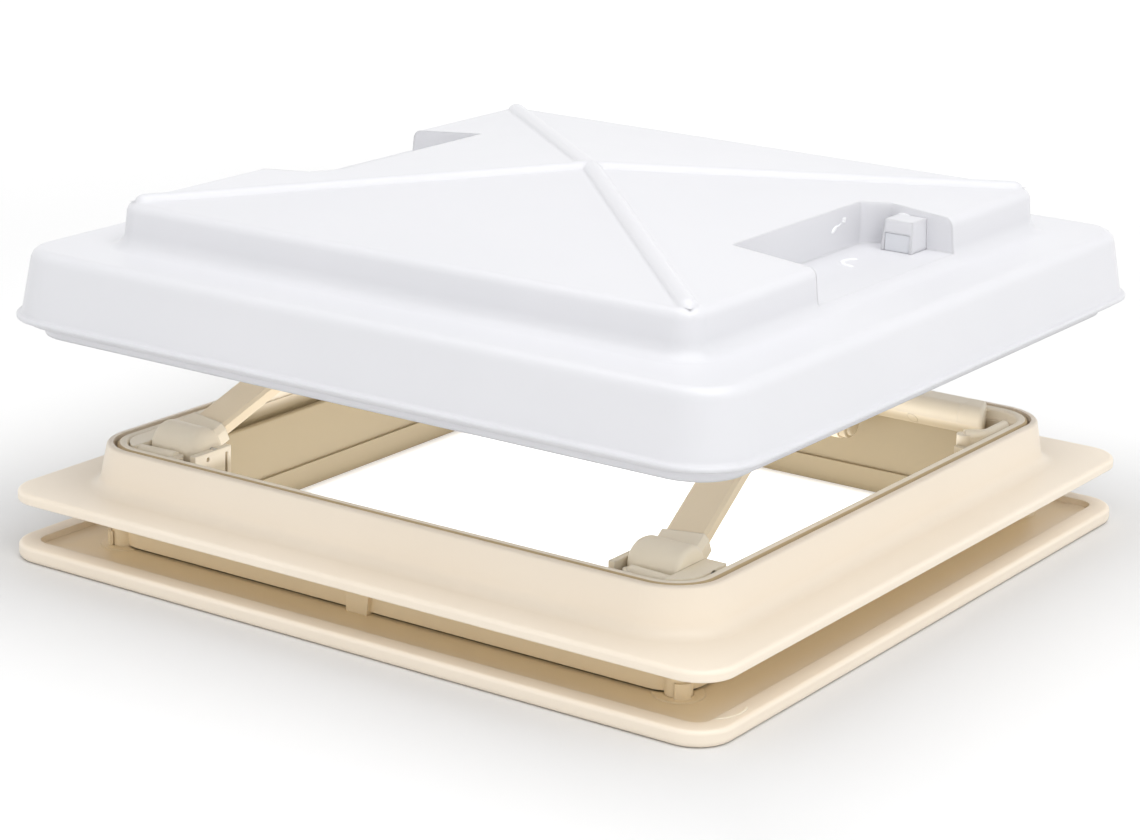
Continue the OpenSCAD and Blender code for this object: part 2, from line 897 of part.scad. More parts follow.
// The notch in the +X side, grown by the given amount
module notch(grow) {
  inner = notch_in - grow;
  side = notch_w / 2 + grow;
  cut = notch_cut + grow * (2 - sqrt(2));
  outer = rim_half + 10;
  translate([0, 0, z_notch - grow]) linear_extrude(z_apex + 20 - z_notch)
    polygon([[inner, -side], [outer, -side], [outer, side], [inner + cut, side], [inner, side - cut]]);
}

module crown_ribs() {
  rib_r = 6;
  run = sqrt(2) * tier_top;
  fall = atan(crown_h / run);
  for (quarter = [0:3]) rotate([0, 0, 45 + 90 * quarter]) translate([0, 0, z_apex + rib_proud - rib_r])
    rotate([0, 90 + fall, 0]) {
      cylinder(h = run - 14, r = rib_r);
      translate([0, 0, run - 14]) sphere(rib_r);
    }
}

module dome_outer_skin() {
  wall = atan(tier_draft / tier_h);
  color(dome_white) difference() {
    union() {
      ring_sweep(dome_c) skirt_section();
      middle_block(dome_c, z_rim, z_ledge);
      tier_form(0);
      crown_ribs();
      difference() {
        ring_sweep(tier_c) corner_patch([tier_half, z_ledge], 0, 90 + wall, 9);
        notch_pair() notch(0);
      }
    }
    skirt_hollow();
    tier_form(skin);
    notch_pair()
      translate([hood_x + (hood_w - slot_w) / 2, notch_w / 2 - 1, z_notch + 5]) cube([slot_w, skin + 2, slot_h]);
  }
}

module pan_section() {
  fall = ring_draft / (z_pan + inner_t - z_ring);
  polygon([
    [dome_c - 6, z_pan],
    [ring_half - ring_draft - inner_t, z_pan],
    [ring_half - inner_t, z_ring],
    [ring_half, z_ring],
    [ring_half - fall * (z_rim - 2 - z_ring), z_rim - 2],
    [rim_half - 3.5, z_rim - 2],
    [rim_half - 3.5, z_rim],
    [ring_half - fall * (z_rim - z_ring), z_rim],
    [ring_half - ring_draft, z_pan + inner_t],
    [dome_c - 6, z_pan + inner_t]
  ]);
}

module dome_inner_skin() {
  color(dome_white) difference() {
    union() {
      ring_sweep(dome_c - 6) pan_section();
      middle_block(dome_c - 6, z_pan, z_pan + inner_t);
      for (sx = [-1, 1]) slide_screw_places(sx * front_slide_x) pan_boss();
      rotate([0, 0, 180]) for (sx = [-1, 1]) slide_screw_places(sx * rear_slide_x) pan_boss();
    }
    for (sx = [-1, 1]) slide_screw_places(sx * front_slide_x) pan_hole();
    rotate([0, 0, 180]) for (sx = [-1, 1]) slide_screw_places(sx * rear_slide_x) pan_hole();
  }
}

module pan_boss() {
  translate([0, 0, slide_foot_t + 1]) cylinder(h = inner_t + boss_h - 1, r = boss_r);
}

module pan_hole() {
  cylinder(h = slide_foot_t + inner_t + boss_h - 1, r = small_r + hold_fit);
}

module seal_section() {
  mid = (gasket_in + collar_half) / 2;
  width = collar_half - gasket_in - 2;
  translate([mid - width / 2, z_pan - 3]) square([width, 3]);
  translate([mid - width / 2 + 1.5, z_pan - seal_h + 2.4]) square([width - 3, seal_h - 4]);
  translate([mid - width / 2 + 3.9, z_pan - seal_h + 2.4]) circle(2.4);
  translate([mid + width / 2 - 3.9, z_pan - seal_h + 2.4]) circle(2.4);
}

module dome_seal() {
  color(rubber_grey) ring_sweep(well_c) seal_section();
}

// Screw places of the slide at x, at the underside of its foot
module slide_screw_places(x) {
  for (y = [-bar_y_open - slide_foot_y + 5, -bar_y_closed + slide_foot_y - 5])
    translate([x + slide_foot_w / 4, y, z_pan - slide_foot_t]) children();
}

// A slotted plate that takes a handle bar whose middle is z_bar high
module slide(x, z_bar) {
  y0 = -bar_y_open;
  y1 = -bar_y_closed;
  r = bar_r + slot_fit;
  difference() {
    union() {
      translate([x - slide_t / 2, y0 - slide_foot_y, z_bar])
        cube([slide_t, y1 - y0 + 2 * slide_foot_y, z_pan - z_bar]);
      translate([x - slide_t / 2, y0, z_bar - slide_edge])
        cube([slide_t, y1 - y0, slide_edge + 1]);
      for (y = [y0, y1]) translate([x - slide_t / 2, y, z_bar]) rotate([0, 90, 0])
        cylinder(h = slide_t, r = slide_edge);
      translate([x - slide_t / 2, y0 - slide_foot_y, z_pan - slide_foot_t])
        cube([slide_foot_w / 2 + slide_t / 2, y1 - y0 + 2 * slide_foot_y, slide_foot_t]);
    }
    for (y = [y0, y1]) for (rise = [0, slot_rise]) translate([x - slide_t, y, z_bar + rise])
      rotate([0, 90, 0]) cylinder(h = 2 * slide_t, r = r);
    translate([x - slide_t, y0, z_bar - r]) cube([2 * slide_t, y1 - y0, 2 * r + slot_rise]);
    translate([x - slide_t, y0 - r, z_bar]) cube([2 * slide_t, y1 - y0 + 2 * r, slot_rise]);
    slide_screw_places(x) translate([0, 0, -1]) cylinder(h = slide_foot_t + 2, r = small_r + 0.2);
  }
}

module front_slide_right() {
  color(arm_cream) slide(front_slide_x, front_z + lift);
}

module front_slide_left() {
  color(arm_cream) slide(-front_slide_x, front_z + lift);
}

module rear_slide_left() {
  color(arm_cream) rotate([0, 0, 180]) slide(rear_slide_x, rear_z + lift);
}

module rear_slide_right() {
  color(arm_cream) rotate([0, 0, 180]) slide(-rear_slide_x, rear_z + lift);
}

// A small cowl against the +Y wall of the notch. Its front leans back, with a shallow
// recess over a low mouth, and its inside opens to the slot in the wall.
module vent_hood() {
  panel = hood_lean + hood_recess + hood_t;
  translate([hood_x, notch_w / 2 - hood_d - seat_gap, z_notch + seat_gap]) difference() {
    intersection() {
      across(hood_w / 2, hood_w + 2) polygon([[0, 0], [hood_d, 0], [hood_d, hood_h], [hood_lean, hood_h]]);
      along_y(hood_d) polygon([[0, 0], [hood_w, 0], [hood_w - 1, hood_h], [1, hood_h]]);
    }
    translate([hood_t, panel, -1]) cube([hood_w - 2 * hood_t, hood_d, hood_h - hood_t + 1]);
    translate([hood_t, -1, -1]) cube([hood_w - 2 * hood_t, hood_recess + 1.4, hood_h * 0.58 + 1]);
    translate([hood_t + 1, -1, -1]) cube([hood_w - 2 * hood_t - 2, hood_d, hood_mouth + 1]);
  }
}

module vent_hood_right() {
  color(dome_white) translate([0, notch_shift, 0]) vent_hood();
}

module vent_hood_left() {
  color(dome_white) translate([0, notch_shift, 0]) rotate([0, 0, 180]) vent_hood();
}

outer_frame();
inner_frame();
collar_gasket();
corner_block_left();
corner_block_front();
corner_web_right();
corner_web_back();
rear_hinge_rail();
clamp_screws();
block_screws();
rail_screws();
front_pin_left();
front_pin_right();
rear_pin_left();
rear_pin_right();
front_knuckle_left();
front_knuckle_right();
front_arm_left();
front_arm_right();
front_bar();
front_grip();
rear_arm_left();
rear_arm_right();
rear_bar();
rear_grip();
dome_outer_skin();
dome_inner_skin();
dome_seal();
front_slide_left();
front_slide_right();
rear_slide_left();
rear_slide_right();
slide_screws();
vent_hood_left();
vent_hood_right();
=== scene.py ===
"""Looks of a caravan roof vent.

Finishes, small moulded details, floor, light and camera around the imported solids.
"""

import logging
import math
from dataclasses import dataclass
from enum import Enum
from typing import Any, Sequence, Union

import bmesh
import bpy
from mathutils import Matrix, Vector


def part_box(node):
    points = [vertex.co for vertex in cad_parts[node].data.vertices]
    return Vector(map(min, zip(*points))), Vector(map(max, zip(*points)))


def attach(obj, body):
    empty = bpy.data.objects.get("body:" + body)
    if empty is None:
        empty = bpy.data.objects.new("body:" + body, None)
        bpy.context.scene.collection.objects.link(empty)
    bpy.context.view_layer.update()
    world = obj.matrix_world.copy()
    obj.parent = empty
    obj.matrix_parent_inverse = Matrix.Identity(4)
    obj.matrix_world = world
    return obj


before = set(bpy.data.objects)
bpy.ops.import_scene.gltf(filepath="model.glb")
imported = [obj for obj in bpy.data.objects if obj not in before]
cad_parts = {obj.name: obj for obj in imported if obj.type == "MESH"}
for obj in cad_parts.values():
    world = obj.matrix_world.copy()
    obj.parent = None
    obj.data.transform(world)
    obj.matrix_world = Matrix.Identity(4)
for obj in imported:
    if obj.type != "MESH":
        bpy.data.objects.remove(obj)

MM = 0.001
LOG = logging.getLogger("roof_vent")
ROUND_STEPS = 40
SHARP_EDGE = math.radians(35.0)

# Directions of flat faces
UP = (0.0, 0.0, 1.0)
LEVEL = ((1.0, 0.0, 0.0), (0.0, 1.0, 0.0))
UPRIGHT = ((1.0, 0.0, 0.0), (0.0, 0.0, 1.0))

# Places in millimetres where the painted shade on the frames and the gasket starts and ends
CORNER_CENTRE = 175.0
WELL_WALL = (19.2, 20.2)
WELL_TOP = (54.0, 63.0)
GAP_REACH = (208.0, 231.0)
GAP_TOP = (33.6, 34.8)
GASKET_GROOVE = (23.9, 24.5)

Colour = tuple[float, float, float]
Point = tuple[float, float, float]
Span = tuple[float, float]
Spot = tuple[float, float]


class Wire:
    """A shader socket that adds a Math node for each operator it is used with."""

    def __init__(self, shader: "Shader", socket: bpy.types.NodeSocket | None) -> None:
        """Wraps one output socket of a shader's node."""
        self.shader = shader
        self.socket = socket

    def _math(self, operation: str, first: "Value", second: "Value") -> "Wire":
        """Adds a Math node on two values."""
        return self.shader.node("ShaderNodeMath", {"operation": operation}, {0: first, 1: second})

    def __add__(self, other: "Value") -> "Wire":
        """The sum."""
        return self._math("ADD", self, other)

    def __radd__(self, other: "Value") -> "Wire":
        """The sum, with this on the right."""
        return self._math("ADD", other, self)

    def __sub__(self, other: "Value") -> "Wire":
        """The difference."""
        return self._math("SUBTRACT", self, other)

    def __rsub__(self, other: "Value") -> "Wire":
        """The difference, with this on the right."""
        return self._math("SUBTRACT", other, self)

    def __mul__(self, other: "Value") -> "Wire":
        """The product."""
        return self._math("MULTIPLY", self, other)

    def __rmul__(self, other: "Value") -> "Wire":
        """The product, with this on the right."""
        return self._math("MULTIPLY", other, self)

    def __abs__(self) -> "Wire":
        """The size, without its sign."""
        return self._math("ABSOLUTE", self, 0.0)

    def larger(self, other: "Value") -> "Wire":
        """The larger of this and another value."""
        return self._math("MAXIMUM", self, other)

    def root(self) -> "Wire":
        """The square root."""
        return self._math("POWER", self, 0.5)


Value = Union[Wire, float, Sequence[float]]


class Shader:
    """The nodes of a procedural material or of the sky."""

    def __init__(self, owner: bpy.types.Material | bpy.types.World, place: str = "Object") -> None:
        """Starts with an empty node tree.

        Args:
            owner: The material or sky that gets the nodes.
            place: The kind of coordinates that its patterns follow.
        """
        owner.use_nodes = True
        self.owner = owner
        self.tree = owner.node_tree
        self.tree.nodes.clear()
        self.place = self.node("ShaderNodeTexCoord", output=place)

    def node(
        self,
        kind: str,
        settings: dict[str, Any] | None = None,
        sockets: dict[Any, Value] | None = None,
        output: int | str = 0,
    ) -> Wire:
        """Adds a node of any type.

        Args:
            kind: The node's type name.
            settings: Its own settings, which are set first.
            sockets: A value or a link for each input, by name or number.
            output: The output that is wanted.

        Returns:
            That output, which is empty for a node that has none.
        """
        made = self.tree.nodes.new(kind)
        for key, value in (settings or {}).items():
            setattr(made, key, value)
        for key, value in (sockets or {}).items():
            if isinstance(value, Wire):
                self.tree.links.new(value.socket, made.inputs[key])
            else:
                made.inputs[key].default_value = value
        return Wire(self, made.outputs[output] if made.outputs else None)

    def noise(self, per_metre: float, detail: float, stretch: Point = (1.0, 1.0, 1.0)) -> Wire:
        """Noise from 0 to 1 over the piece.

        Args:
            per_metre: How many lumps fit in a metre.
            detail: The number of finer layers.
            stretch: The scale of the pattern along each axis.

        Returns:
            The noise's value.
        """
        where = self.node("ShaderNodeMapping", None, {"Vector": self.place, "Scale": stretch})
        sockets = {"Vector": where, "Scale": per_metre, "Detail": detail}
        return self.node("ShaderNodeTexNoise", None, sockets)

    def axis(self, index: int) -> Wire:
        """One coordinate of the place: 0, 1 or 2."""
        return self.node("ShaderNodeSeparateXYZ", None, {0: self.place}, output=index)

    def outward(self) -> Wire:
        """Measures how far the place lies outside the square between the well's corner centres.

        Returns:
            The distance in metres, which is 0 inside the square.
        """
        centre = CORNER_CENTRE * MM
        past_x, past_y = ((abs(self.axis(index)) - centre).larger(0.0) for index in range(2))
        return (past_x * past_x + past_y * past_y).root()

    def band(self, value: Wire, low: float, high: float) -> Wire:
        """Makes a smooth step of a value.

        Args:
            value: The value that is followed.
            low: Where the step starts from 0.
            high: Where the step reaches 1.

        Returns:
            The step.
        """
        settings = {"interpolation_type": "SMOOTHSTEP"}
        sockets = {"Value": value, "From Min": low, "From Max": high}
        return self.node("ShaderNodeMapRange", settings, sockets)

    def past(self, value: Wire, edge: Span) -> Wire:
        """A smooth step of a length across an edge that is given in millimetres."""
        return self.band(value, edge[0] * MM, edge[1] * MM)

    def tint(self, share: Wire, first: Colour | Wire, second: Colour | Wire) -> Wire:
        """Mixes two colours.

        Args:
            share: How much of the second colour there is.
            first: The colour where the share is 0.
            second: The colour where the share is 1.

        Returns:
            The mixed colour.
        """
        ends = [end if isinstance(end, Wire) else (*end, 1.0) for end in (first, second)]
        # Counted from 0, a Mix node takes its colours at inputs 6 and 7 and gives one at output 2
        sockets = {0: share, 6: ends[0], 7: ends[1]}
        return self.node("ShaderNodeMix", {"data_type": "RGBA"}, sockets, output=2)

    def rounding(self, radius: float) -> Wire:
        """The surface's direction with its edges shaded as round."""
        return self.node("ShaderNodeBevel", {"samples": 6}, {"Radius": radius})

    def edges(self, rounded: Wire) -> Wire:
        """Finds the edges of the piece.

        Args:
            rounded: The surface's direction with rounded edges.

        Returns:
            How far it leaves the true direction, from 0 on a flat face.
        """
        true = self.node("ShaderNodeNewGeometry", output="Normal")
        settings = {"operation": "DOT_PRODUCT"}
        turn = self.node("ShaderNodeVectorMath", settings, {0: rounded, 1: true}, output=1)
        return 1.0 - turn

    def bump(self, height: Wire, depth: float, normal: Wire) -> Wire:
        """A surface direction that is roughened by a height."""
        return self.node("ShaderNodeBump", None, {"Height": height, "Distance": depth, "Normal": normal})

    def close(self, sockets: dict[str, Value]) -> bpy.types.Material:
        """Ends the material with a Principled shader.

        Args:
            sockets: A value or a link for each of the shader's inputs.

        Returns:
            The finished material.
        """
        surface = self.node("ShaderNodeBsdfPrincipled", None, sockets)
        self.node("ShaderNodeOutputMaterial", None, {"Surface": surface})
        return self.owner


@dataclass(frozen=True)
class Moulding:
    """A moulded plastic, with a drift of tone, edges painted paler as a painted highlight and a fine spark
    grain.
    """

    slot: str
    colour: Colour
    drifted: Colour
    # Painted highlight colour for the edges
    highlight_colour: Colour
    roughness: float
    roughness_drift: float
    grain_per_metre: float
    grain_depth: float
    wave_depth: float
    edge_radius: float
    coat: float = 0.0
    # Painted shade: tones for where the frames face into the well and into the gap under the flange
    well_shade_colour: Colour | None = None
    gap_shade_colour: Colour | None = None
    drift_per_metre: float = 7.0
    drift_span: Span = (0.35, 0.65)
    highlight_span: Span = (0.02, 0.3)
    haze_per_metre: float = 38.0
    wave_per_metre: float = 30.0

    def paint_shade(self, shader: Shader, colour: Wire) -> Wire:
        """Paints shade into the tone where the frames face into the well, darker there, and into the gap
        between them, warmer there as with light bounced between the frames.

        Args:
            shader: The material that is being made.
            colour: The tone elsewhere.

        Returns:
            The tone everywhere.
        """
        x, y, z = (shader.axis(index) for index in range(3))
        well = (1.0 - shader.past(shader.outward(), WELL_WALL)) * (1.0 - shader.past(z, WELL_TOP))
        reach = abs(x).larger(abs(y))
        gap = (1.0 - shader.past(reach, GAP_REACH)) * (1.0 - shader.past(z, GAP_TOP))
        return shader.tint(well, shader.tint(gap, colour, self.gap_shade_colour), self.well_shade_colour)

    def material(self, name: str) -> bpy.types.Material:
        """Makes the plastic's material.

        Args:
            name: The material's name.

        Returns:
            The finished material.
        """
        shader = Shader(bpy.data.materials.new(name))
        rounded = shader.rounding(self.edge_radius)
        tone = shader.band(shader.noise(self.drift_per_metre, 2.0), *self.drift_span)
        # Painted highlight: the rounded edges get a paler colour
        edge = shader.band(shader.edges(rounded), *self.highlight_span)
        body = shader.tint(tone, self.colour, self.drifted)
        colour = shader.tint(edge, body, self.highlight_colour)
        # Painted shade in the well and in the gap
        if self.well_shade_colour:
            colour = self.paint_shade(shader, colour)
        haze = shader.noise(self.haze_per_metre, 4.0)
        roughness = self.roughness + self.roughness_drift * (haze - 0.5)
        grain = shader.noise(self.grain_per_metre, 2.0) * self.grain_depth
        wave = shader.noise(self.wave_per_metre, 1.0) * self.wave_depth
        return shader.close({
            "Base Color": colour,
            "Roughness": roughness,
            "Normal": shader.bump(grain + wave, 1.0, rounded),
            "IOR": 1.49,
            "Coat Weight": self.coat,
            "Coat Roughness": 0.25,
        })


@dataclass(frozen=True)
class Rubber:
    """A soft extruded strip with fine lines along its run, and an optional band of painted shade along its
    outer edge.
    """

    slot: str
    colour: Colour
    worn: Colour
    roughness: float
    groove_shade: Colour | None = None
    edge_radius: float = 0.6 * MM
    bloom_per_metre: float = 60.0
    bloom_span: Span = (0.4, 0.7)
    bloom_roughness: float = 0.12
    lines_per_metre: float = 900.0
    lines_stretch: Point = (0.25, 0.25, 1.0)
    lines_depth: float = 0.06 * MM

    def material(self, name: str) -> bpy.types.Material:
        """Makes the strip's material.

        Args:
            name: The material's name.

        Returns:
            The finished material.
        """
        shader = Shader(bpy.data.materials.new(name))
        rounded = shader.rounding(self.edge_radius)
        bloom = shader.band(shader.noise(self.bloom_per_metre, 4.0), *self.bloom_span)
        lines = shader.noise(self.lines_per_metre, 2.0, self.lines_stretch)
        colour = shader.tint(bloom, self.colour, self.worn)
        # Painted shade: a darker, warmer band along the outer edge, where the strip sits by the rim's
        # groove
        if self.groove_shade:
            groove_shade_share = shader.past(shader.outward(), GASKET_GROOVE)
            colour = shader.tint(groove_shade_share, colour, self.groove_shade)
        return shader.close({
            "Base Color": colour,
            "Roughness": self.roughness + self.bloom_roughness * (bloom - 0.5),
            "Normal": shader.bump(lines, self.lines_depth, rounded),
            "IOR": 1.47,
        })


@dataclass(frozen=True)
class Plating:
    """Bright plated steel with turning lines and a dull film in places."""

    slot: str
    colour: Colour
    dulled: Colour
    roughness: float
    edge_radius: float = 0.3 * MM
    film_per_metre: float = 220.0
    film_span: Span = (0.45, 0.7)
    film_roughness: float = 0.16
    lines_per_metre: float = 1500.0
    lines_stretch: Point = (0.1, 1.0, 1.0)
    lines_roughness: float = 0.08
    lines_depth: float = 0.01 * MM

    def material(self, name: str) -> bpy.types.Material:
        """Makes the metal's material.

        Args:
            name: The material's name.

        Returns:
            The finished material.
        """
        shader = Shader(bpy.data.materials.new(name))
        rounded = shader.rounding(self.edge_radius)
        film = shader.band(shader.noise(self.film_per_metre, 5.0), *self.film_span)
        lines = shader.noise(self.lines_per_metre, 3.0, self.lines_stretch)
        roughness = self.roughness + self.film_roughness * film + self.lines_roughness * (lines - 0.5)
        return shader.close({
            "Base Color": shader.tint(film, self.colour, self.dulled),
            "Metallic": 1.0,
            "Roughness": roughness,
            "Normal": shader.bump(lines, self.lines_depth, rounded),
        })


class Finish(Enum):
    """The finishes of the vent's pieces."""

    DOME = Moulding(
        slot="dome_white",
        colour=(0.706, 0.706, 0.732),
        drifted=(0.695, 0.697, 0.723),
        highlight_colour=(0.768, 0.768, 0.792),
        roughness=0.36,
        roughness_drift=0.06,
        grain_per_metre=1500.0,
        grain_depth=0.012 * MM,
        wave_depth=0.05 * MM,
        edge_radius=3.0 * MM,
        coat=0.08,
    )
    # Painted shade: a slightly bluer, duller white for the hood panels, standing for the shade in the
    # hood's lower front
    SHADE = Moulding(
        slot="dome_white",
        colour=(0.70, 0.712, 0.745),
        drifted=(0.69, 0.703, 0.737),
        highlight_colour=(0.73, 0.74, 0.77),
        roughness=0.4,
        roughness_drift=0.06,
        grain_per_metre=1500.0,
        grain_depth=0.012 * MM,
        wave_depth=0.05 * MM,
        edge_radius=0.2 * MM,
        coat=0.08,
    )
    # Painted highlight: the mould marks are painted much paler than the dome, standing for the highlights
    # on their rounded tops
    MARK = Moulding(
        slot="dome_white",
        colour=(0.86, 0.86, 0.88),
        drifted=(0.85, 0.85, 0.87),
        highlight_colour=(0.88, 0.88, 0.9),
        roughness=0.3,
        roughness_drift=0.06,
        grain_per_metre=1500.0,
        grain_depth=0.012 * MM,
        wave_depth=0.05 * MM,
        edge_radius=0.1 * MM,
        coat=0.2,
    )
    FRAME = Moulding(
        slot="frame_cream",
        colour=(0.92, 0.82, 0.685),
        drifted=(0.907, 0.804, 0.666),
        highlight_colour=(0.95, 0.875, 0.765),
        roughness=0.42,
        roughness_drift=0.08,
        grain_per_metre=1900.0,
        grain_depth=0.016 * MM,
        wave_depth=0.05 * MM,
        edge_radius=0.8 * MM,
        coat=0.04,
        # Painted shade for the well, and a warmer painted shade for the gap
        well_shade_colour=(0.455, 0.37, 0.232),
        gap_shade_colour=(0.96, 0.81, 0.565),
    )
    # Painted light: a paler, warmer copy of the frame cream for the corner pieces, rail, knuckles and small
    # fittings, lifting them where they lie in the dome's shade
    CORNER = Moulding(
        slot="frame_cream",
        colour=(0.95, 0.86, 0.70),
        drifted=(0.935, 0.845, 0.68),
        highlight_colour=(0.96, 0.885, 0.755),
        roughness=0.42,
        roughness_drift=0.08,
        grain_per_metre=1900.0,
        grain_depth=0.016 * MM,
        wave_depth=0.05 * MM,
        edge_radius=1.2 * MM,
        coat=0.04,
        # Painted shade for the well and the gap, paler than the frame's
        well_shade_colour=(0.56, 0.465, 0.315),
        gap_shade_colour=(0.96, 0.81, 0.565),
    )
    ARM = Moulding(
        slot="arm_beige",
        colour=(0.94, 0.805, 0.595),
        drifted=(0.925, 0.79, 0.577),
        highlight_colour=(0.95, 0.825, 0.63),
        roughness=0.48,
        roughness_drift=0.1,
        grain_per_metre=1700.0,
        grain_depth=0.02 * MM,
        wave_depth=0.06 * MM,
        edge_radius=0.7 * MM,
    )
    GASKET = Rubber(
        slot="gasket_cream",
        colour=(0.93, 0.845, 0.70),
        worn=(0.945, 0.865, 0.73),
        roughness=0.62,
        # Painted shade along the groove by the rim
        groove_shade=(0.60, 0.455, 0.26),
    )
    SEAL = Rubber(
        slot="seal_rubber",
        colour=(0.035, 0.035, 0.037),
        worn=(0.06, 0.06, 0.062),
        roughness=0.7,
    )
    STEEL = Plating(
        slot="plated_steel",
        colour=(0.72, 0.73, 0.74),
        dulled=(0.52, 0.52, 0.51),
        roughness=0.27,
    )

    def material(self) -> bpy.types.Material:
        """The finish's material, made once."""
        name = "vent_" + self.name.lower()
        return bpy.data.materials.get(name) or self.value.material(name)


def dress_node(name: str, finish: Finish) -> None:
    """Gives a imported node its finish.

    Args:
        name: The node's name.
        finish: The finish that it wears.
    """
    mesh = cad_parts[name].data
    mesh.materials.clear()
    mesh.materials.append(finish.material())
    LOG.info("dressed %s in %s", name, finish.value.slot)


def add_piece(name: str, form: bmesh.types.BMesh, body: str, finish: Finish) -> None:
    """Makes a small piece from its form, dresses it and lets it ride on a body.

    Args:
        name: The piece's name.
        form: The closed form, in metres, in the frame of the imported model.
        body: The body that carries it.
        finish: The finish that it wears.
    """
    bmesh.ops.recalc_face_normals(form, faces=form.faces)
    for face in form.faces:
        face.smooth = True
    mesh = bpy.data.meshes.new(name)
    form.to_mesh(mesh)
    form.free()
    mesh.set_sharp_from_angle(angle=SHARP_EDGE)
    mesh.materials.append(finish.material())
    piece = bpy.data.objects.new(name, mesh)
    bpy.context.scene.collection.objects.link(piece)
    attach(piece, body)
    LOG.info("added %s on %s", name, body)


def join_rings(form: bmesh.types.BMesh, rings: Sequence[Sequence[bmesh.types.BMVert]]) -> None:
    """Joins closed rings of points by faces and closes both ends.

    Args:
        form: The form that holds the points.
        rings: The rings in order, with the same number of points each.
    """
    count = len(rings[0])
    for first, second in zip(rings, rings[1:]):
        for step in range(count):
            ahead = (step + 1) % count
            form.faces.new((first[step], first[ahead], second[ahead], second[step]))
    form.faces.new(rings[0])
    form.faces.new(rings[-1])


def turns(count: int) -> list[tuple[float, float]]:
    """Spaces turns evenly about a circle.

    Args:
        count: The number of turns.

    Returns:
        The cosine and sine of each.
    """
    angles = [2.0 * math.pi * step / count for step in range(count)]
    return [(math.cos(angle), math.sin(angle)) for angle in angles]


@dataclass(frozen=True)
class Bead:
    """A half-round bead with tapered ends, sized in millimetres."""

    width: float
    height: float
    steps: int = 10
    sunk: float = 0.15
    tip_share: float = 0.35

    def lay(self, form: bmesh.types.BMesh, path: Sequence[Point], up: Point) -> None:
        """Lays the bead along a path on a flat face.

        Args:
            form: The form that gets it.
            path: Points on the face, in millimetres.
            up: The face's direction.
        """
        points = [Vector(point) for point in path]
        rise = Vector(up)
        last = len(points) - 1
        rings = []
        for index, point in enumerate(points):
            ahead = points[min(index + 1, last)] - points[max(index - 1, 0)]
            side = rise.cross(ahead).normalized()
            share = self.tip_share if index in (0, last) else 1.0
            ring = []
            for step in range(self.steps + 1):
                turn = math.pi * step / self.steps
                across = 0.5 * self.width * share * math.cos(turn)
                above = self.height * share * math.sin(turn) - self.sunk
                ring.append(form.verts.new((point + side * across + rise * above) * MM))
            rings.append(ring)
        join_rings(form, rings)


def arc_path(centre: Point, radius: float, span: Span, axes: tuple[Point, Point]) -> list[Point]:
    """Points of an arc on a flat face.

    Args:
        centre: The arc's middle, in millimetres.
        radius: Its radius in millimetres.
        span: The first and last angle in degrees.
        axes: The face's two directions.

    Returns:
        The points in order.
    """
    count = 16
    across, along = Vector(axes[0]), Vector(axes[1])
    start, end = span
    path = []
    for index in range(count + 1):
        turn = math.radians(start + (end - start) * index / count)
        spot = Vector(centre) + across * (radius * math.cos(turn)) + along * (radius * math.sin(turn))
        path.append(tuple(spot))
    return path


